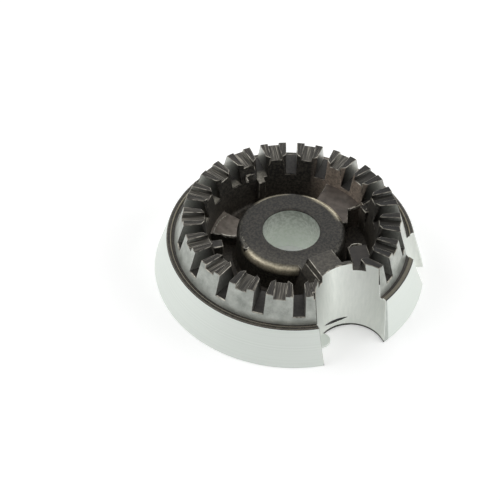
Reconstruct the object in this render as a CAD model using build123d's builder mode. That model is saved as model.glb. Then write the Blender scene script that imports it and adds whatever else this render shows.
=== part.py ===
"""Gas burner body: a one-piece aluminium casting with a ring of flame ports.

Millimetres, +Z up. The origin is the middle of the flat base, on the burner axis.
The electrode notch faces -45 degrees and the thermocouple notch sits beside it.
"""

import math
import os

from build123d import *

# Skirt and ledge
BASE_RADIUS = 27.5
LEDGE_RADIUS = 25.0
LEDGE_HEIGHT = 8.45
RELIEF_DEPTH = 0.35
RELIEF_WIDTH = 0.65

# Crown: the toothed ring that carries the cap
CROWN_TOP = 14.25
CROWN_FOOT_RADIUS = 23.45
CROWN_TOP_RADIUS = 21.75
CROWN_INNER_RADIUS = 17.5
PORT_FLOOR = 9.8
PORT_COUNT = 16
PORT_PITCH = 20.4
PORT_WIDTH = 2.25
PORT_SKEW = 0.9
MOUTH_FLARE = 0.7
TROUGH_DEPTH = 0.8
TROUGH_WIDTH = 2.25

# Channel between hub and crown
CHANNEL_FLOOR = 3.4
CHANNEL_DRAFT = 7.0
CHANNEL_FILLET = 0.8
HUB_FOOT_CHAMFER = 0.6

# Hub and its bore
HUB_RADIUS = 10.9
HUB_TOP = 10.7
HUB_DRAFT = 2.0
HUB_SHOULDER = 1.3
BORE_RADIUS = 5.75
BORE_CHAMFER = 0.3

# Nibs left on the hub shoulder: angle and distance from the axis
NIBS = ((-147.5, 9.9), (-135.0, 10.4))
NIB_RADIUS = 0.55
NIB_TOP = 10.65

# Electrode notch: where its slanted axis and its radius start at the base, and how they
# change up to the crown top
ELECTRODE_ANGLE = -45.0
ELECTRODE_OUT = 25.6
ELECTRODE_ACROSS = -0.65
ELECTRODE_RADIUS = 6.7
ELECTRODE_LEAN_IN = 1.5
ELECTRODE_LEAN_ACROSS = 1.25
ELECTRODE_WIDEN = 1.35
ELECTRODE_WALL = 0.85

# Spoke, block, pilot ports and lug at the electrode notch
SPOKE_INNER = 7.0
BLOCK_INNER = 11.3
BLOCK_WIDTH = 5.4
BLOCK_SHIFT = -0.35
BLOCK_DRAFT = 12.0
PILOT_FLOOR = 12.8
PILOT_GAP = 1.3
PILOT_PORT_ACROSS = 5.05
PILOT_PORT_WIDTH = 2.0
LUG_ALONG = 20.7
LUG_ACROSS = -4.6
LUG_RADIUS = 1.8
LUG_HEIGHT = 0.5

# Thermocouple notch
PROBE_STEP = 56.7
PROBE_OUT = 26.95
PROBE_RADIUS = 2.35
PROBE_DRAFT = 12.5

# Low webs in the channel: start angle, end angle and top height
REAR_WEB = (48.7, 79.0, 9.0)
SIDE_WEB = (160.5, 184.7, 6.0)

# Hub flat beside the rear web
FLAT_ANGLE = 12.7
FLAT_REACH = 11.3
FLAT_START = 4.4
FLAT_END = 9.5

# Web behind the pilot port
PILOT_WEB_ALONG = 12.95
PILOT_WEB_ACROSS = 8.9
PILOT_WEB_LENGTH = 9.5
PILOT_WEB_WIDTH = 4.0
PILOT_WEB_TURN = -18.0
PILOT_WEB_TOP = 8.8

# Pillars under three ports: port number, inner radius, shift across the port and width
PILLARS = ((3, 16.2, -0.8, 2.25), (7, 15.3, 0.5, 1.5), (11, 14.1, 0.45, 2.0))

# Underside recess round the foot of the hub, undercut along its outer side
HUB_FOOT_RADIUS = 8.8
RECESS_RADIUS = 17.9
RECESS_DEPTH = 1.9
UNDERCUT_RADIUS = 19.15
UNDERCUT_HEIGHT = 0.45

# Margins: cutters stand this proud, the slanted one further, and added material starts
# this deep in its root
PROUD = 1.0
NOTCH_PROUD = 2.5
ROOT = 1.0

ports_span = PORT_PITCH * (PORT_COUNT - 1)
first_port = ELECTRODE_ANGLE + PORT_SKEW + (360 - ports_span) / 2
first_tooth = first_port + PORT_PITCH / 2


def widen(height, draft):
    """Half width that a drafted side gains over a height."""
    return height * math.tan(math.radians(draft))


def port_angle(index):
    return first_port + PORT_PITCH * index


def facing(angle, along=0.0, across=0.0, height=0.0):
    """A level plane whose X points outwards at the angle, moved along and across it."""
    turned = Plane.XY.rotated((0, 0, angle))
    origin = turned.from_local_coords((along, across, height))
    return Plane(origin=origin, x_dir=turned.x_dir, z_dir=(0, 0, 1))


def notch_radius(distance):
    """Radius of the electrode notch at a distance along its slanted axis."""
    return ELECTRODE_RADIUS + ELECTRODE_WIDEN * distance / notch_rise.length


relief_radius = CROWN_FOOT_RADIUS + RELIEF_WIDTH
relief_height = LEDGE_HEIGHT - RELIEF_DEPTH
channel_outer_foot = CROWN_INNER_RADIUS - widen(CROWN_TOP - CHANNEL_FLOOR, CHANNEL_DRAFT)
channel_inner_foot = HUB_RADIUS + widen(HUB_TOP - CHANNEL_FLOOR, HUB_DRAFT)
root_height = CHANNEL_FLOOR - ROOT
notch_foot = facing(ELECTRODE_ANGLE, ELECTRODE_OUT, ELECTRODE_ACROSS).origin
notch_head = facing(
    ELECTRODE_ANGLE,
    ELECTRODE_OUT - ELECTRODE_LEAN_IN,
    ELECTRODE_ACROSS + ELECTRODE_LEAN_ACROSS,
    CROWN_TOP,
).origin
notch_rise = notch_head - notch_foot
notch_axis = Plane(origin=notch_foot, z_dir=notch_rise)
tooth_foot_radius = CROWN_INNER_RADIUS - widen(CROWN_TOP - PORT_FLOOR, CHANNEL_DRAFT)
spoke_width = BLOCK_WIDTH + 2 * widen(CROWN_TOP - HUB_TOP, BLOCK_DRAFT)
block_side = BLOCK_SHIFT - BLOCK_WIDTH / 2

# Low webs, the hub flat and the pillars, kept inside the crown
with BuildPart() as webs:
    for start, end, top in (REAR_WEB, SIDE_WEB):
        with BuildSketch(Plane.XY.offset(root_height)):
            with BuildLine():
                inner = CenterArc((0, 0), HUB_RADIUS - ROOT, start, end - start)
                outer = CenterArc((0, 0), CROWN_INNER_RADIUS, start, end - start)
                Line(inner @ 0, outer @ 0)
                Line(inner @ 1, outer @ 1)
            make_face()
        extrude(amount=top - root_height)
    with BuildSketch(facing(FLAT_ANGLE, 0, FLAT_START, root_height)):
        Rectangle(FLAT_REACH, FLAT_END - FLAT_START, align=Align.MIN)
    extrude(amount=REAR_WEB[2] - root_height)
    with BuildSketch(facing(ELECTRODE_ANGLE, PILOT_WEB_ALONG, PILOT_WEB_ACROSS, root_height)):
        Rectangle(PILOT_WEB_LENGTH, PILOT_WEB_WIDTH, rotation=PILOT_WEB_TURN)
    extrude(amount=PILOT_WEB_TOP - root_height)
    for index, reach, shift, width in PILLARS:
        with BuildSketch(facing(port_angle(index), reach, shift, root_height)):
            Rectangle(CROWN_INNER_RADIUS - reach, width, align=(Align.MIN, Align.CENTER))
        extrude(amount=PORT_FLOOR - root_height)
    Cylinder(
        CROWN_INNER_RADIUS - RELIEF_DEPTH,
        CROWN_TOP,
        align=(Align.CENTER, Align.CENTER, Align.MIN),
        mode=Mode.INTERSECT,
    )

# Spoke, block and thin wall behind the electrode notch, all with casting draft
with BuildPart() as electrode_wall:
    for inner, width, top in (
        (SPOKE_INNER, spoke_width, HUB_TOP),
        (BLOCK_INNER, BLOCK_WIDTH, CROWN_TOP),
    ):
        spread = widen(top - root_height, BLOCK_DRAFT)
        foot = facing(ELECTRODE_ANGLE, inner - spread, BLOCK_SHIFT, root_height)
        with BuildSketch(foot):
            Rectangle(
                ELECTRODE_OUT - inner + 2 * spread,
                width + 2 * spread,
                align=(Align.MIN, Align.CENTER),
            )
        extrude(amount=top - root_height, taper=BLOCK_DRAFT)
    with Locations(notch_axis.offset(-NOTCH_PROUD)):
        Cone(
            notch_radius(-NOTCH_PROUD) + ELECTRODE_WALL,
            notch_radius(notch_rise.length + NOTCH_PROUD) + ELECTRODE_WALL,
            notch_rise.length + 2 * NOTCH_PROUD,
            align=(Align.CENTER, Align.CENTER, Align.MIN),
        )
    with Locations((0, 0, root_height)):
        Cylinder(
            CROWN_TOP_RADIUS - ROOT,
            CROWN_TOP - root_height,
            align=(Align.CENTER, Align.CENTER, Align.MIN),
            mode=Mode.INTERSECT,
        )

# The turned form: underside, skirt, ledge, crown, channel and hub
with BuildPart() as burner_body:
    with BuildSketch(Plane.XZ) as section:
        with BuildLine():
            Polyline(
                (0, 0),
                (HUB_FOOT_RADIUS, 0),
                (HUB_FOOT_RADIUS, RECESS_DEPTH),
                (UNDERCUT_RADIUS, RECESS_DEPTH),
                (RECESS_RADIUS, UNDERCUT_HEIGHT),
                (RECESS_RADIUS, 0),
                (BASE_RADIUS, 0),
                (LEDGE_RADIUS, LEDGE_HEIGHT),
                (relief_radius, LEDGE_HEIGHT),
                (relief_radius, relief_height),
                (CROWN_FOOT_RADIUS, relief_height),
                (CROWN_TOP_RADIUS, CROWN_TOP),
                (CROWN_INNER_RADIUS, CROWN_TOP),
                (channel_outer_foot, CHANNEL_FLOOR),
                (channel_inner_foot, CHANNEL_FLOOR),
                (HUB_RADIUS, HUB_TOP),
                (0, HUB_TOP),
                close=True,
            )
        make_face()
        hub_foot = section.vertices().sort_by_distance((channel_inner_foot, CHANNEL_FLOOR))[0]
        chamfer(hub_foot, HUB_FOOT_CHAMFER)
        for corner, radius in (
            ((channel_outer_foot, CHANNEL_FLOOR), CHANNEL_FILLET),
            ((HUB_RADIUS, HUB_TOP), HUB_SHOULDER),
        ):
            fillet(section.vertices().sort_by_distance(corner)[0], radius)
    revolve(axis=Axis.Z)

    # Flame ports milled through the crown
    with BuildSketch(Plane.XY.offset(PORT_FLOOR)):
        with PolarLocations(HUB_RADIUS + PROUD, PORT_COUNT, first_port, ports_span, endpoint=True):
            Rectangle(BASE_RADIUS, PORT_WIDTH, align=(Align.MIN, Align.CENTER))
    extrude(amount=CROWN_TOP, mode=Mode.SUBTRACT)

    # Flared mouths on the channel side: full at the tooth tops, nothing at the port floor
    for index in range(PORT_COUNT):
        for height, throat in (
            (PORT_FLOOR, tooth_foot_radius),
            (CROWN_TOP, CROWN_INNER_RADIUS + MOUTH_FLARE),
        ):
            reach = throat - tooth_foot_radius + PROUD
            with BuildSketch(facing(port_angle(index), throat, 0, height)):
                Polygon(
                    (PORT_WIDTH / 2, 0),
                    (-reach, PORT_WIDTH / 2 + reach),
                    (-reach, -PORT_WIDTH / 2 - reach),
                    align=None,
                )
        loft(ruled=True, mode=Mode.SUBTRACT)

    # Shallow troughs along the tooth tops
    with BuildSketch(Plane.XY.offset(CROWN_TOP - TROUGH_DEPTH)):
        with PolarLocations(HUB_RADIUS + PROUD, PORT_COUNT, first_tooth, ports_span, endpoint=True):
            Rectangle(BASE_RADIUS, TROUGH_WIDTH, align=(Align.MIN, Align.CENTER))
    extrude(amount=CROWN_TOP, mode=Mode.SUBTRACT)

    # Cast-in webs, spoke, block and the small nibs on the hub shoulder
    add(webs.part)
    add(electrode_wall.part)
    for angle, along in NIBS:
        with Locations(facing(angle, along, 0, root_height)):
            Cylinder(
                NIB_RADIUS,
                NIB_TOP - root_height,
                align=(Align.CENTER, Align.CENTER, Align.MIN),
            )

    # Electrode notch: a slanted cone
    with Locations(notch_axis.offset(-NOTCH_PROUD)):
        Cone(
            notch_radius(-NOTCH_PROUD),
            notch_radius(notch_rise.length + NOTCH_PROUD),
            notch_rise.length + 2 * NOTCH_PROUD,
            align=(Align.CENTER, Align.CENTER, Align.MIN),
            mode=Mode.SUBTRACT,
        )

    # Thermocouple notch
    with Locations(facing(ELECTRODE_ANGLE + PROBE_STEP, PROBE_OUT, 0, -PROUD)):
        Cone(
            PROBE_RADIUS - widen(PROUD, PROBE_DRAFT),
            PROBE_RADIUS + widen(CROWN_TOP + PROUD, PROBE_DRAFT),
            CROWN_TOP + 2 * PROUD,
            align=(Align.CENTER, Align.CENTER, Align.MIN),
            mode=Mode.SUBTRACT,
        )

    # Pilot ports that feed the flame to the electrode
    for across, width in (
        (PILOT_PORT_ACROSS, PILOT_PORT_WIDTH),
        (block_side - PILOT_GAP / 2, PILOT_GAP),
    ):
        with BuildSketch(facing(ELECTRODE_ANGLE, BLOCK_INNER, across, PILOT_FLOOR)):
            Rectangle(
                ELECTRODE_OUT - BLOCK_INNER,
                width,
                align=(Align.MIN, Align.CENTER),
            )
        extrude(amount=CROWN_TOP, mode=Mode.SUBTRACT)

    # Lug low in the corner of the electrode notch
    with Locations(facing(ELECTRODE_ANGLE, LUG_ALONG, LUG_ACROSS)):
        Cylinder(LUG_RADIUS, LUG_HEIGHT, align=(Align.CENTER, Align.CENTER, Align.MIN))

    # Centre bore with its lead-in
    Cylinder(BORE_RADIUS, 3 * HUB_TOP, mode=Mode.SUBTRACT)
    bore_rims = edges().filter_by(GeomType.CIRCLE).filter_by(
        lambda rim: abs(rim.radius - BORE_RADIUS) < 0.01
    )
    chamfer(bore_rims.sort_by(Axis.Z)[-1], BORE_CHAMFER)

os.makedirs("parts", exist_ok=True)
burner_body.part.label = "burner_body"
export_step(burner_body.part, "parts/burner_body.step")
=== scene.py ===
import math

import bmesh
import bpy
from mathutils import Matrix, Vector


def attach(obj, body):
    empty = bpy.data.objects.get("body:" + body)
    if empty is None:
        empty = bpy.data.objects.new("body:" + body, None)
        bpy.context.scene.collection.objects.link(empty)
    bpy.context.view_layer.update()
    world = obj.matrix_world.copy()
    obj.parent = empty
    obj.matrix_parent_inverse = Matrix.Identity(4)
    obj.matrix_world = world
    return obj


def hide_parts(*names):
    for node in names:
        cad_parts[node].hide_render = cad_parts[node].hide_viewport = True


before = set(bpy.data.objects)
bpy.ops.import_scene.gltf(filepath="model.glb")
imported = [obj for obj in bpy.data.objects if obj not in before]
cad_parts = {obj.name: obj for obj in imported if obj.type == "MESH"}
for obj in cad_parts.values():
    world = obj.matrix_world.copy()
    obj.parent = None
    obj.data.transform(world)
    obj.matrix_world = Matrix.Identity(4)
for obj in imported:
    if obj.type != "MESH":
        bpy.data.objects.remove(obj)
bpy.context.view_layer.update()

MM = 0.001

# The casting's own sizes, in millimetres, used to tell its surfaces apart
BASE_RADIUS = 27.5
LEDGE_RADIUS = 25.0
LEDGE_HEIGHT = 8.45
CROWN_TOP = 14.25
CROWN_FOOT_RADIUS = 23.45
CROWN_TOP_RADIUS = 21.75
TROUGH_DEPTH = 0.8
PORT_FLOOR = 9.8
BORE_RADIUS = 5.75
HUB_RADIUS = 10.9
HUB_TOP = 10.7
SIDE_WEB_TOP = 6.0
REAR_WEB_TOP = 9.0
ELECTRODE_ANGLE = -45.0
PROBE_ANGLE = 11.7

# How far the middle of a face may lie from its own surface: from a plain one, and from a slanted wall
NEAR = 0.1
WALL_NEAR = 0.3

# How the edges of the casting are made, in degrees and millimetres
CREASE_ANGLE = 28
WELD_GAP = 0.002
EDGE_ROUNDING = 0.17
TOOTH_ROUNDING_SHARE = 0.6


def turned(angle, along, across, height):
    """A point given along and across a direction round the axis, in millimetres."""
    return Matrix.Rotation(math.radians(angle), 3, "Z") @ Vector((along, across, height))


# Each notch: the two ends of its axis, and its radius at them
NOTCHES = (
    (turned(ELECTRODE_ANGLE, 25.6, -0.65, 0), turned(ELECTRODE_ANGLE, 24.1, 0.6, CROWN_TOP), 6.7, 8.05),
    (turned(PROBE_ANGLE, 26.95, 0, 0), turned(PROBE_ANGLE, 26.95, 0, CROWN_TOP), 2.35, 5.51),
)
LUG = turned(ELECTRODE_ANGLE, 20.7, -4.6, 0.25)
NIBS = (turned(-147.5, 9.9, 0, 10.4), turned(-135, 10.4, 0, 10.4))

# The kinds of node used most
MATH, VECTOR, RANGE = "ShaderNodeMath", "ShaderNodeVectorMath", "ShaderNodeMapRange"
NOISE, RAMP, MIX = "ShaderNodeTexNoise", "ShaderNodeValToRGB", "ShaderNodeMix"


def linear(text):
    """A colour written as sRGB hex, as the linear values the shader takes."""
    out = []
    for i in (0, 2, 4):
        c = int(text[i:i + 2], 16) / 255
        out.append(c / 12.92 if c <= 0.04045 else ((c + 0.055) / 1.055) ** 2.4)
    return (*out, 1.0)


def fill(tree, made, inputs):
    """Links each input named to the socket given for it, or sets it to the value given."""
    for key, value in inputs.items():
        if isinstance(value, bpy.types.NodeSocket):
            tree.links.new(value, made.inputs[key])
        else:
            made.inputs[key].default_value = value


def node(tree, kind, inputs, stops=(), **settings):
    """Adds a node with its settings, inputs and colour stops, and gives its first output in use.

    A stop is a position and an sRGB hex. A mix takes its share as input 0 and its two colours as 6 and 7.
    """
    made = tree.nodes.new(kind)
    for name, value in settings.items():
        setattr(made, name, value)
    fill(tree, made, inputs)
    for i, (position, colour) in enumerate(stops):
        stop = made.color_ramp.elements[i] if i < 2 else made.color_ramp.elements.new(position)
        stop.position, stop.color = position, linear(colour)
    return next(out for out in made.outputs if out.enabled)


def material(finish):
    """A material named for its finish, with the nodes that the finish gives its Principled shader."""
    made = bpy.data.materials.new(finish.__name__)
    made.use_nodes = True
    finish(made.node_tree, made.node_tree.nodes["Principled BSDF"])
    return made


def polar(tree):
    """The place on the part, its distance from the burner's axis, its angle round it and its height."""
    place = node(tree, "ShaderNodeTexCoord", {}).node.outputs["Object"]
    x, y, height = node(tree, "ShaderNodeSeparateXYZ", {0: place}).node.outputs
    level = node(tree, VECTOR, {0: place, 1: (1, 1, 0)}, operation="MULTIPLY")
    radius = node(tree, VECTOR, {0: level}, operation="LENGTH")
    angle = node(tree, MATH, {0: y, 1: x}, operation="ARCTAN2")
    return place, radius, angle, height


def toward(tree, angle, direction, width):
    """1 round a direction in degrees, fading from 0.55 of the width, in degrees, to 0 at the width."""
    off = node(tree, MATH, {0: angle, 1: math.radians(direction)}, operation="SUBTRACT")
    cosine = node(tree, MATH, {0: off}, operation="COSINE")
    edge, full = math.cos(math.radians(width)), math.cos(math.radians(0.55 * width))
    return node(tree, RANGE, {0: cosine, 1: edge, 2: full})


def product(tree, first, *others):
    """Several masks, or a mask and a share, multiplied together."""
    for other in others:
        first = node(tree, MATH, {0: first, 1: other}, operation="MULTIPLY")
    return first


def bloomed(tree, tone, cloud, share, stops=((0.3, "606060"), (0.7, "a0a0a0"))):
    """A tone made softly uneven by a cloud, by the share given."""
    soft = node(tree, RAMP, {0: cloud}, stops)
    return node(tree, MIX, {0: share, 6: tone, 7: soft}, data_type="RGBA", blend_type="SOFT_LIGHT")


def metal(tree, shader, colour, metallic, roughness, relief=None, depth=0.0):
    """Gives the shader its colour, metallic and roughness, and a bump of a depth in metres."""
    values = {"Base Color": colour, "Metallic": metallic, "Roughness": roughness}
    if relief:
        bump = {"Height": relief, "Strength": 1.0, "Distance": depth}
        values["Normal"] = node(tree, "ShaderNodeBump", bump)
    fill(tree, shader, values)


def cast_tone_with_painted_light(tree, grain, height):
    """Grey of the dark casting skin, dark on top and painted paler down in the channel: painted light where
    less light reaches.
    """
    top = node(tree, RAMP, {0: grain}, ((0.40, "12110e"), (0.62, "403e38")))
    deep_painted_paler = node(tree, RAMP, {0: grain}, ((0.36, "37342f"), (0.66, "5f5a51")))
    rise = node(tree, RANGE, {0: height, 1: 4 * MM, 2: 10.6 * MM})
    return node(tree, MIX, {0: rise, 6: deep_painted_paler, 7: top}, data_type="RGBA")


def die_cast_skin(tree, shader):
    # Die-cast aluminium, as cast and darkened by heat: dull and grainy, with a soft 5 mm mottle.
    # The grain is drawn 0.45 mm wide, coarser than the real one so that it shows.
    place, radius, angle, height = polar(tree)
    grain = node(tree, NOISE, {"Vector": place, "Scale": 1 / (0.45 * MM), "Detail": 2.0})
    mottle = node(tree, NOISE, {"Vector": place, "Scale": 1 / (5 * MM), "Detail": 3.0})
    # The channel wall is browner at the back right, and painted paler there: painted light on the wall that
    # faces the light
    lit_brown = node(tree, RAMP, {0: grain}, ((0.32, "7a7168"), (0.70, "a0958a")))
    on_wall = node(tree, RANGE, {0: radius, 1: 14 * MM, 2: 16 * MM})
    above_floor = node(tree, RANGE, {0: height, 1: 3 * MM, 2: 4 * MM})
    lit_brown_patch = product(tree, toward(tree, angle, 67, 25), on_wall, above_floor)
    tone = node(tree, MIX, {0: lit_brown_patch, 6: cast_tone_with_painted_light(tree, grain, height), 7: lit_brown}, data_type="RGBA")
    tone = bloomed(tree, tone, mottle, 0.6, ((0.35, "6a6660"), (0.68, "98908a")))
    # A painted golden highlight on the rim of the hub at the back right, above the shoulder
    golden = node(tree, RAMP, {0: grain}, ((0.3, "8f8773"), (0.7, "bfb69e")))
    on_hub = node(tree, RANGE, {0: height, 1: 10 * MM, 2: 10.4 * MM})
    past_inside = node(tree, RANGE, {0: radius, 1: 9.2 * MM, 2: 9.9 * MM})
    within_outside = node(tree, RANGE, {0: radius, 1: 12 * MM, 2: 11.5 * MM})
    rim_highlight = product(tree, past_inside, within_outside, toward(tree, angle, 57, 26), on_hub)
    tone = node(tree, MIX, {0: rim_highlight, 6: tone, 7: golden}, data_type="RGBA")
    # The front of the hub and the block behind the electrode notch are a little paler
    paler = node(tree, RAMP, {0: grain}, ((0.3, "7b766c"), (0.7, "a09a8e")))
    off_bore = node(tree, RANGE, {0: radius, 1: 7 * MM, 2: 10 * MM})
    worn = product(tree, toward(tree, angle, -80, 66), off_bore, on_hub, 0.14)
    tone = node(tree, MIX, {0: worn, 6: tone, 7: paler}, data_type="RGBA")
    rough = node(tree, RANGE, {0: grain, 3: 0.45, 4: 0.65})
    metal(tree, shader, tone, metallic=0.3, roughness=rough, relief=grain, depth=0.03 * MM)


def shoulder_with_highlights(tree, shader):
    # The hub's shoulder, die-cast and rubbed smooth by handling: the same dark metal, glossier, with painted
    # golden highlights at the front, the back right and the back left.
    # The grain is drawn 0.4 mm wide, coarser than the real one so that it shows.
    place, _, angle, height = polar(tree)
    grain = node(tree, NOISE, {"Vector": place, "Scale": 1 / (0.4 * MM), "Detail": 3.0})
    golden = node(tree, RAMP, {0: grain}, ((0.3, "a39a84"), (0.7, "d8cfb7")))
    rise = node(tree, RANGE, {0: height, 1: 8.0 * MM, 2: HUB_TOP * MM})
    stops = ((0.20, "000000"), (0.55, "ffffff"), (0.82, "ffffff"), (1.0, "484848"))
    front = product(tree, toward(tree, angle, -100, 42), node(tree, RAMP, {0: rise}, stops))
    upper = node(tree, RANGE, {0: height, 1: 8 * MM, 2: 14 * MM})
    rear_left = product(tree, toward(tree, angle, 130, 24), upper)
    highlight_mask = node(tree, MATH, {0: front, 1: toward(tree, angle, 62, 32)}, operation="MAXIMUM")
    highlight_mask = node(tree, MATH, {0: highlight_mask, 1: rear_left}, operation="MAXIMUM")
    tone = node(tree, MIX, {0: highlight_mask, 6: cast_tone_with_painted_light(tree, grain, height), 7: golden}, data_type="RGBA")
    metal(tree, shader, tone, metallic=0.6, roughness=0.38, relief=grain, depth=0.012 * MM)


def web_top(tree, shader):
    # Tops of the low webs: cast skin, paler and brownish where the burnt gas has swept over it.
    # The grain is drawn 0.4 mm wide, coarser than the real one so that it shows.
    place, _, angle, height = polar(tree)
    cloud = node(tree, NOISE, {"Vector": place, "Scale": 1 / (1.5 * MM), "Detail": 4.0})
    pale = node(tree, RAMP, {0: cloud}, ((0.3, "6f675f"), (0.7, "988f85")))
    dark = node(tree, RAMP, {0: cloud}, ((0.3, "443e39"), (0.7, "645c55")))
    rise = node(tree, RANGE, {0: height, 1: 6.5 * MM, 2: 8.5 * MM})
    tone = node(tree, MIX, {0: rise, 6: pale, 7: dark}, data_type="RGBA")
    # The web behind the pilot port has more soot
    soot = toward(tree, angle, -4, 26)
    tone = node(tree, MIX, {0: soot, 6: tone, 7: linear("8c8c8c")}, data_type="RGBA", blend_type="MULTIPLY")
    grain = node(tree, NOISE, {"Vector": place, "Scale": 1 / (0.4 * MM), "Detail": 2.0})
    metal(tree, shader, tone, metallic=0.3, roughness=0.5, relief=grain, depth=0.02 * MM)


def tooth_top(tree, shader, metallic, roughness, stops):
    """Fine rubbed lines that run outwards over a tooth, in the tones given, with more soot on the right."""
    _, radius, angle, _ = polar(tree)
    # The lines are about 6 mm long and drawn 0.22 mm apart at a radius of 20 mm, coarser than the real ones
    # so that they show
    across, along = product(tree, angle, 20 / 0.22), product(tree, radius, 1 / (6 * MM))
    place = node(tree, "ShaderNodeCombineXYZ", {"X": across, "Y": along})
    lines = node(tree, NOISE, {"Vector": place, "Scale": 1.0, "Detail": 2.0})
    tone = node(tree, RAMP, {0: lines}, stops)
    soot = toward(tree, angle, 15, 60)
    tone = node(tree, MIX, {0: soot, 6: tone, 7: linear("757370")}, data_type="RGBA", blend_type="MULTIPLY")
    metal(tree, shader, tone, metallic, roughness, relief=lines, depth=0.05 * MM)


def tooth_ridge(tree, shader):
    # Ridges of the teeth, turned and darkened by heat: dark oxide, rubbed through in fine lines
    tooth_top(tree, shader, 0.5, 0.45, stops=((0.40, "1d1b18"), (0.58, "35322d"), (0.76, "7a766c")))


def tooth_trough(tree, shader):
    # Troughs of the teeth, milled and darkened by heat: a little brighter than the ridges
    tooth_top(tree, shader, 0.6, 0.42, stops=((0.38, "2a2824"), (0.56, "4e4b45"), (0.74, "9a968b")))


def milled_side(tree, shader):
    # Port sides left by the milling cutter: bright metal outside, dark with soot towards the channel
    place, radius, _, _ = polar(tree)
    cloud = node(tree, NOISE, {"Vector": place, "Scale": 1 / (0.5 * MM), "Detail": 3.0})
    soot = node(tree, RAMP, {0: cloud}, ((0.3, "24211e"), (0.7, "3e3a35")))
    bare = node(tree, RAMP, {0: cloud}, ((0.3, "c4c6c0"), (0.7, "dadcd6")))
    outward = node(tree, RANGE, {0: radius, 1: 17.6 * MM, 2: 22.4 * MM})
    tone = node(tree, MIX, {0: outward, 6: soot, 7: bare}, data_type="RGBA")
    metal(tree, shader, tone, metallic=0.85, roughness=0.33)


def milled_floor(tree, shader):
    # Port floors left by the milling cutter: dark with soot, and painted paler at the inner end on the left:
    # a painted highlight where those floors catch the light
    place, radius, angle, _ = polar(tree)
    cloud = node(tree, NOISE, {"Vector": place, "Scale": 1 / (0.6 * MM), "Detail": 3.0})
    dark = node(tree, RAMP, {0: cloud}, ((0.3, "191715"), (0.7, "322f2b")))
    pale = node(tree, RAMP, {0: cloud}, ((0.3, "6d6a61"), (0.7, "99958a")))
    inner_end = node(tree, RANGE, {0: radius, 1: 19 * MM, 2: 18 * MM})
    lit_inner_end = product(tree, toward(tree, angle, 156, 50), inner_end)
    tone = node(tree, MIX, {0: lit_inner_end, 6: dark, 7: pale}, data_type="RGBA")
    metal(tree, shader, tone, metallic=0.3, roughness=0.55)


def ledge_bands(tree, shader):
    # The turned ledge and its relief groove: bare brownish metal, with painted shade in the groove and a dark
    # band along the rim
    place, radius, angle, _ = polar(tree)
    across = node(tree, RANGE, {0: radius, 1: 23.4 * MM, 2: 25.1 * MM})
    bands = ((0.0, "2c2925"), (0.36, "24221e"), (0.40, "b5ad9b"), (0.82, "a8a190"), (0.90, "2c2a26"))
    tone = node(tree, RAMP, {0: across}, bands)
    cloud = node(tree, NOISE, {"Vector": place, "Scale": 1 / MM, "Detail": 3.0})
    tone = bloomed(tree, tone, cloud, 0.5)
    # Between the two notches it is darker
    dim = toward(tree, angle, -16, 36)
    tone = node(tree, MIX, {0: dim, 6: tone, 7: linear("acacaa")}, data_type="RGBA", blend_type="MULTIPLY")
    metal(tree, shader, tone, metallic=0.2, roughness=0.5)


def turned_skirt(tree, shader):
    # Turned aluminium: satin bright, very slightly green, with fine rings from the lathe tool.
    # The rings are 0.3 mm apart, coarser than the real feed so that they show.
    place, _, angle, height = polar(tree)
    rings = node(tree, NOISE, {"W": height, "Scale": 1 / (0.3 * MM), "Detail": 2.0}, noise_dimensions="1D")
    tone = node(tree, RAMP, {0: rings}, ((0.25, "d3d9d3"), (0.75, "dadfda")))
    # Right beside the electrode notch a strip that leans by 3.3 degrees is duller and darker
    lean = product(tree, height, math.radians(3.3) / (LEDGE_HEIGHT * MM))
    bend = node(tree, MATH, {0: angle, 1: lean}, operation="SUBTRACT")
    right_edge = node(tree, RANGE, {0: bend, 1: math.radians(-29.2), 2: math.radians(-29.7)})
    left_edge = node(tree, RANGE, {0: bend, 1: math.radians(-50), 2: math.radians(-48)})
    cloud = node(tree, NOISE, {"Vector": place, "Scale": 1 / MM, "Detail": 3.0})
    dull = node(tree, RAMP, {0: cloud}, ((0.3, "a9aea9"), (0.7, "b8bdb7")))
    strip = product(tree, right_edge, left_edge)
    tone = node(tree, MIX, {0: strip, 6: tone, 7: dull}, data_type="RGBA")
    metal(tree, shader, tone, metallic=0.45, roughness=0.52, relief=rings, depth=0.0025 * MM)


def turned_crown(tree, shader):
    # Turned aluminium dulled by heat on the crown: mid grey with a fine bloom
    place, _, _, _ = polar(tree)
    cloud = node(tree, NOISE, {"Vector": place, "Scale": 1 / (2.5 * MM), "Detail": 4.0})
    tone = node(tree, RAMP, {0: cloud}, ((0.3, "989c96"), (0.7, "c2c5bf")))
    fine = node(tree, NOISE, {"Vector": place, "Scale": 1 / (0.3 * MM), "Detail": 3.0})
    metal(tree, shader, bloomed(tree, tone, fine, 0.5), metallic=0.5, roughness=0.4)


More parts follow.
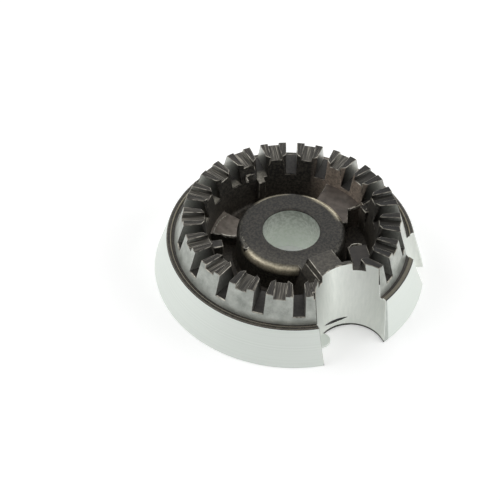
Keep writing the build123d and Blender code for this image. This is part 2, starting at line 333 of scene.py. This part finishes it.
def core_pin_wall(tree, shader):
    # Aluminium cast against a smooth core pin: pale satin, with faint streaks along the pull.
    # The streaks are drawn 0.5 mm wide, coarser than the real ones so that they show.
    place, _, angle, height = polar(tree)
    pulled = node(tree, "ShaderNodeMapping", {"Vector": place, "Scale": (1, 1, 0.08)})
    pull = node(tree, NOISE, {"Vector": pulled, "Scale": 1 / (0.5 * MM), "Detail": 3.0})
    tone = node(tree, RAMP, {0: pull}, ((0.3, "eaeee8"), (0.7, "f2f5ef")))
    fine = node(tree, NOISE, {"Vector": place, "Scale": 1 / (0.3 * MM), "Detail": 3.0})
    tone = bloomed(tree, tone, fine, 0.3)
    # Painted shade on each flank of the electrode notch, stronger towards the top
    sideways = turned(ELECTRODE_ANGLE, 0, 1, 0)
    across = node(tree, VECTOR, {0: place, 1: sideways}, operation="DOT_PRODUCT")
    across = node(tree, RANGE, {0: across, 1: -8 * MM, 2: 8 * MM})
    stops = ((0.04, "5c5c5c"), (0.28, "b4b4b4"), (0.50, "ffffff"), (0.90, "cccccc"))
    flank_shade = node(tree, RAMP, {0: across}, stops)
    rise = node(tree, RANGE, {0: height, 1: -4 * MM, 2: 16 * MM})
    tone = node(tree, MIX, {0: rise, 6: tone, 7: flank_shade}, data_type="RGBA", blend_type="MULTIPLY")
    # A dark line of painted shade runs along the foot of the electrode notch
    foot = node(tree, RANGE, {0: height, 1: 0.0, 2: 1 * MM})
    foot = node(tree, RAMP, {0: foot}, ((0.34, "33322e"), (0.48, "ffffff")))
    here = toward(tree, angle, ELECTRODE_ANGLE, 40)
    tone = node(tree, MIX, {0: here, 6: tone, 7: foot}, data_type="RGBA", blend_type="MULTIPLY")
    metal(tree, shader, tone, metallic=0.4, roughness=0.45)


def bored_wall(tree, shader):
    # Bored aluminium: a grainy satin wall, painted paler towards the bottom and darker towards the top:
    # painted light and shade down the bore.
    # The grain is drawn 0.55 mm wide, coarser than the real one so that it shows.
    place, _, _, height = polar(tree)
    rise = node(tree, RANGE, {0: height, 1: 0.0, 2: 10.6 * MM})
    tone = node(tree, RAMP, {0: rise}, ((0.0, "fbfffa"), (0.45, "e6eae4"), (1.0, "a9ada7")))
    grain = node(tree, NOISE, {"Vector": place, "Scale": 1 / (0.55 * MM), "Detail": 2.0})
    tone = bloomed(tree, tone, grain, 0.7, ((0.38, "3a3a3a"), (0.62, "c6c6c6")))
    metal(tree, shader, tone, metallic=0.5, roughness=0.45)


def worn_edge(tree, shader):
    # Edges rubbed bare of the dark casting skin: patches of lighter, brighter aluminium
    place, _, angle, _ = polar(tree)
    patches = node(tree, NOISE, {"Vector": place, "Scale": 1 / (1.2 * MM), "Detail": 3.0})
    tone = node(tree, RAMP, {0: patches}, ((0.38, "3e3b36"), (0.60, "a5a196")))
    soot = toward(tree, angle, 5, 60)
    tone = node(tree, MIX, {0: soot, 6: tone, 7: linear("dededc")}, data_type="RGBA", blend_type="MULTIPLY")
    metal(tree, shader, tone, metallic=0.6, roughness=0.38)


def rubbed_flash_and_highlight(tree, shader):
    # Thin flash that stands proud and is rubbed bright: bare aluminium with little grime left. It also makes
    # the lips that are painted highlights
    place, _, _, _ = polar(tree)
    patches = node(tree, NOISE, {"Vector": place, "Scale": 1 / (0.6 * MM), "Detail": 3.0})
    tone = node(tree, RAMP, {0: patches}, ((0.35, "77736a"), (0.60, "d2cec2")))
    metal(tree, shader, tone, metallic=0.6, roughness=0.35)


FINISHES = (
    die_cast_skin, shoulder_with_highlights, web_top, tooth_ridge, tooth_trough, milled_side, milled_floor,
    ledge_bands, turned_skirt, turned_crown, core_pin_wall, bored_wall, worn_edge,
)
SKIN, SHOULDER, WEB, RIDGE, TROUGH, SIDE, FLOOR, LEDGE, SKIRT, CROWN, NOTCH, BORE, WORN = range(len(FINISHES))


def from_notch(point, notch):
    """The way to a point from the axis of a notch, and how far the point is from the notch's wall."""
    foot, head, foot_radius, head_radius = notch
    rise = head - foot
    along = min(max((point - foot).dot(rise) / rise.length_squared, 0.0), 1.0)
    away = point - foot - rise * along
    return away, abs(away.length - foot_radius - (head_radius - foot_radius) * along)


def surface_of(centre, normal):
    """Which finish a face of the casting has, from where its middle lies, in millimetres, and its normal."""
    x, y, z = centre
    r = math.hypot(x, y)
    outward = (normal.x * x + normal.y * y) / max(r, 1e-6)
    sideways = (normal.y * x - normal.x * y) / max(r, 1e-6)
    level = normal.z > 0.9
    if outward < -0.9 and r < BORE_RADIUS + NEAR:
        return BORE
    if normal.z < -0.9 and z < NEAR:
        return SKIRT
    # The turned walls and the notches: the nearest of them that is near enough
    near = [(WALL_NEAR, SKIN)]
    if outward > 0.8:
        skirt_slope = (BASE_RADIUS - LEDGE_RADIUS) / LEDGE_HEIGHT
        crown_slope = (CROWN_FOOT_RADIUS - CROWN_TOP_RADIUS) / (CROWN_TOP - LEDGE_HEIGHT)
        near.append((abs(r + skirt_slope * z - BASE_RADIUS), SKIRT))
        near.append((abs(r + crown_slope * (z - LEDGE_HEIGHT) - CROWN_FOOT_RADIUS), CROWN))
    for notch in NOTCHES:
        away, gap = from_notch(centre, notch)
        if normal.dot(away) / max(away.length, 1e-6) < -0.8:
            near.append((gap, NOTCH))
    nearest = min(near)[1]
    if nearest != SKIN:
        return nearest
    on_lug = (centre - LUG).length < 2 and z < 1.0
    if on_lug:
        return SKIRT
    on_nib = min((centre - nib).length for nib in NIBS) < 0.7
    if on_nib:
        return TROUGH
    on_ledge = r > 23.3 and 7.9 < z < 8.7
    if on_ledge:
        return LEDGE
    block = turned(-ELECTRODE_ANGLE, *centre)
    on_block = block.x > 0 and abs(block.y) < 4.2
    if level and r > 15 and not on_block:
        if z > CROWN_TOP - 2 * NEAR:
            return RIDGE
        if z > CROWN_TOP - TROUGH_DEPTH - 2 * NEAR:
            return TROUGH
        if abs(z - PORT_FLOOR) < NEAR:
            return FLOOR
    if level and r > HUB_RADIUS + NEAR and SIDE_WEB_TOP - NEAR < z < REAR_WEB_TOP + NEAR:
        return WEB
    in_port = z > PORT_FLOOR and r > 16.7
    if in_port and abs(normal.z) < 0.4 and abs(outward) < 0.6:
        return SIDE
    on_hub_side = 9.5 < r < 11.4 and 4.2 < z < HUB_TOP + NEAR
    if on_hub_side and outward > 0.15 and abs(sideways) < 0.25:
        return SHOULDER
    return SKIN


def edge_of(centre):
    """Which finish a rounded edge has: bare metal on the teeth, block and webs, its neighbour's elsewhere."""
    x, y, z = centre
    r = math.hypot(x, y)
    bore_rim = r < BORE_RADIUS + 1
    if bore_rim:
        return SKIN
    notch_edge = z < PORT_FLOOR and min(from_notch(centre, notch)[1] for notch in NOTCHES) < 0.4
    if notch_edge:
        return NOTCH
    ledge_rim = r > 23.2 and z > 7.5
    if ledge_rim:
        return LEDGE
    skirt_edge = r > 24.5 or z < 1
    if skirt_edge:
        return SKIRT
    block = turned(-ELECTRODE_ANGLE, *centre)
    block_edge = block.x > 10 and -4 < block.y < 3.2
    if block_edge:
        return WORN if block.x > 11.9 else SKIN
    tooth_edge = z > 12.9
    channel_edge = r < 17
    port_lip = r > 22 and abs(z - PORT_FLOOR) < 0.3
    return WORN if tooth_edge or channel_edge or port_lip else SKIN


# The casting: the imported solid's own form, with its outer edges rounded and each surface in its finish
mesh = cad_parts["burner_body"].data.copy()
bm = bmesh.new()
bm.from_mesh(mesh)
bmesh.ops.remove_doubles(bm, verts=bm.verts, dist=WELD_GAP * MM)
bmesh.ops.dissolve_limit(bm, angle_limit=math.radians(1.0), verts=bm.verts, edges=bm.edges)
weight = bm.edges.layers.float.new("bevel_weight_edge")
for edge in bm.edges:
    crease = edge.calc_face_angle(0.0) > math.radians(CREASE_ANGLE)
    middle = (edge.verts[0].co + edge.verts[1].co) / (2 * MM)
    out = math.hypot(middle.x, middle.y)
    # The slit at the foot of the notch stays sharp, and the teeth are too narrow for the full rounding
    slit = middle.z < 2.2 and out < 19.6
    tooth = middle.z > PORT_FLOOR and out > 16.5
    share = TOOTH_ROUNDING_SHARE if tooth else 1.0
    edge[weight] = share if crease and edge.is_convex and not slit else 0.0
    edge.smooth = not crease
bm.to_mesh(mesh)
bm.free()
mesh.materials.clear()
for finish in FINISHES:
    mesh.materials.append(material(finish))
for face in mesh.polygons:
    face.material_index = surface_of(face.center / MM, face.normal)
    face.use_smooth = True
casting = bpy.data.objects.new("casting", mesh)
bpy.context.scene.collection.objects.link(casting)
rounding = casting.modifiers.new("cast_edges", "BEVEL")
rounding.width = EDGE_ROUNDING * MM
rounding.segments = 2
rounding.limit_method = "WEIGHT"
rounding.use_clamp_overlap = False
rounding.harden_normals = True
rounding.material = WORN
bpy.context.view_layer.update()
rounded = bpy.data.meshes.new_from_object(casting.evaluated_get(bpy.context.evaluated_depsgraph_get()))
casting.modifiers.clear()
casting.data = rounded
rounded.name = "casting"
for vertex in rounded.vertices:
    vertex.co.z = min(max(vertex.co.z, 0.0), CROWN_TOP * MM)
for face in rounded.polygons:
    if face.material_index == WORN:
        face.material_index = edge_of(face.center / MM)
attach(casting, "root")
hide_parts("burner_body")

bright_lip_metal = material(rubbed_flash_and_highlight)


def bright_lip(name, height, half, *points):
    """A thin bright lip of casting flash, or of painted highlight, along points given as distance and angle,
    sunk into the casting below it.

    Its height and its half width are in millimetres, as the distances are.
    """
    path = [turned(angle, radius, 0, height) for radius, angle in points]
    down = Vector((0, 0, -0.45))
    corners, faces = [], []
    for i, point in enumerate(path):
        run = (path[min(i + 1, len(path) - 1)] - path[max(i - 1, 0)]).normalized()
        side = Vector((-run.y, run.x, 0)) * half
        ring = (point + side + down, point - side + down, point - side / 2, point + side / 2)
        corners += [corner * MM for corner in ring]
    for start in range(0, 4 * len(path) - 4, 4):
        faces += [[start + k, start + (k + 1) % 4, start + 4 + (k + 1) % 4, start + 4 + k] for k in range(4)]
    faces += [[3, 2, 1, 0], [len(corners) - 4 + k for k in range(4)]]
    lip = bpy.data.meshes.new(name)
    lip.from_pydata(corners, [], faces)
    lip.materials.append(bright_lip_metal)
    made = bpy.data.objects.new(name, lip)
    bpy.context.scene.collection.objects.link(made)
    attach(made, "root")


bright_lip("flash_by_port_7", 11.5, 0.24, (15.5, 140.1), (16.4, 139.2), (17.2, 137.7), (17.3, 134), (17.35, 130.8))
bright_lip("flash_by_port_3", 10.0, 0.17, (16.9, 44.5), (17.8, 45.2), (18.7, 46.0))
bright_lip("flash_below_port_3", 9.9, 0.17, (16.8, 40.1), (17.6, 40.4), (18.0, 42.0), (17.8, 36.6))
bright_lip("flash_on_side_web", 6.3, 0.2,
      (14.3, 184.6), (13.4, 185.7), (12.6, 185.8), (11.7, 185.2), (10.9, 184.2))
# A bright lip that is a painted highlight where the channel wall curves up behind the side web
bright_lip("highlight_lip_behind_side_web", 6.15, 0.17, (15.9, 184.6), (16.0, 179), (15.9, 172), (15.6, 166), (15.2, 162))
# A bright lip that is a painted highlight on the rim of a hollow in the pilot web
bright_lip("highlight_lip_on_pilot_web", 9.0, 0.1, (12.0, 0.3), (12.25, 4.4), (12.8, 6.6), (13.6, 7.4), (14.3, 7.0))
bright_lip("flash_on_rear_web", 9.1, 0.17, (14.1, 49.2), (15.0, 48.2), (15.9, 47.9), (16.9, 48.0))

# Camera at the photograph's angle: the view of a fitted lens, in the part's own frame.
# Its distance is in metres, and its focal length and centre are in pixels of the photograph's frame.
TURN, ELEVATION, ROLL = math.radians(12.7), math.radians(46.38), math.radians(3.30)
DISTANCE = 0.400
FOCAL, CENTRE_X, CENTRE_Y, FRAME_SIZE = 1956.8, 289.31, 266.03, 500
turn = Matrix.Rotation(TURN, 3, "Z")
forward = turn @ Vector((0, math.cos(ELEVATION), -math.sin(ELEVATION)))
level = turn @ Vector((1, 0, 0))
upward = level.cross(forward)
right = level * math.cos(ROLL) + upward * math.sin(ROLL)
up = upward * math.cos(ROLL) - level * math.sin(ROLL)
lens = bpy.data.cameras.new("view")
lens.sensor_width = 36
lens.lens = FOCAL / FRAME_SIZE * lens.sensor_width
lens.shift_x = (FRAME_SIZE / 2 - CENTRE_X) / FRAME_SIZE
lens.shift_y = (CENTRE_Y - FRAME_SIZE / 2) / FRAME_SIZE
camera = bpy.data.objects.new("view", lens)
axes = Matrix((right, up, -forward)).transposed().to_4x4()
camera.matrix_world = Matrix.Translation(-forward * DISTANCE) @ axes
bpy.context.scene.collection.objects.link(camera)
bpy.context.scene.camera = camera

# How bright the room is as a light, where the camera sees it at 1, and the light that makes the floor white
ROOM_LIGHT = 0.40
FLOOR_GLOW = 0.22

# The floor's side in metres, and how far below the part it lies in millimetres
FLOOR_SIZE = 3
FLOOR_DROP = 0.02


def seen_directly(tree):
    """1 for what the camera sees, also in a reflection or through something clear, and 0 for light."""
    path = node(tree, "ShaderNodeLightPath", {}).node.outputs
    seen = node(tree, MATH, {0: path["Is Camera Ray"], 1: path["Is Glossy Ray"]}, operation="ADD")
    return node(tree, MATH, {0: seen, 1: path["Is Transmission Ray"]}, operation="ADD", use_clamp=True)


def white_paper(tree, shader):
    # Matt white paper that keeps the part's shadow. For the camera it glows to white from under the skirt
    # outwards, faintly inside the bore, and not in between, where only the slit shows it.
    _, radius, _, _ = polar(tree)
    outward = node(tree, RANGE, {0: radius, 1: 0.0, 2: 30 * MM})
    stops = ((0.28, "3a3a3a"), (0.30, "000000"), (0.62, "000000"), (0.65, "ffffff"))
    open_floor = node(tree, RAMP, {0: outward}, stops)
    fill(tree, shader, {
        "Base Color": linear("fafafa"), "Roughness": 1.0, "Specular IOR Level": 0.0,
        "Emission Color": linear("ffffff"),
        "Emission Strength": product(tree, seen_directly(tree), open_floor, FLOOR_GLOW),
    })


bpy.ops.mesh.primitive_plane_add(size=FLOOR_SIZE, location=(0, 0, -FLOOR_DROP * MM))
floor = bpy.context.object
floor.name = "floor"
floor.data.materials.append(material(white_paper))

# World: a white room for the camera and for reflections, dimmer as a light
world = bpy.data.worlds.new("white_room")
world.use_nodes = True
bpy.context.scene.world = world
tree = world.node_tree
strength = node(tree, RANGE, {0: seen_directly(tree), 3: ROOM_LIGHT, 4: 1.0})
fill(tree, tree.nodes["Background"], {"Color": linear("ffffff"), "Strength": strength})

# Three soft square lamps that face the part: side in metres, watts, and the place as seen from the camera,
# to the right, away and up
aim = Vector((0, 0, 5 * MM))
for name, size, power, place in (
    ("left", 0.60, 1.9, (-0.46, 0.02, 0.28)),
    ("right", 0.50, 1.7, (0.48, -0.02, 0.20)),
    ("back", 0.50, 0.6, (0.10, 0.50, 0.30)),
):
    light = bpy.data.lights.new(name, "AREA")
    light.size = size
    light.energy = power
    lamp = bpy.data.objects.new(name, light)
    lamp.location = turn @ Vector(place)
    lamp.rotation_euler = (aim - lamp.location).to_track_quat("-Z", "Y").to_euler()
    bpy.context.scene.collection.objects.link(lamp)

bpy.context.scene.view_settings.view_transform = "Standard"
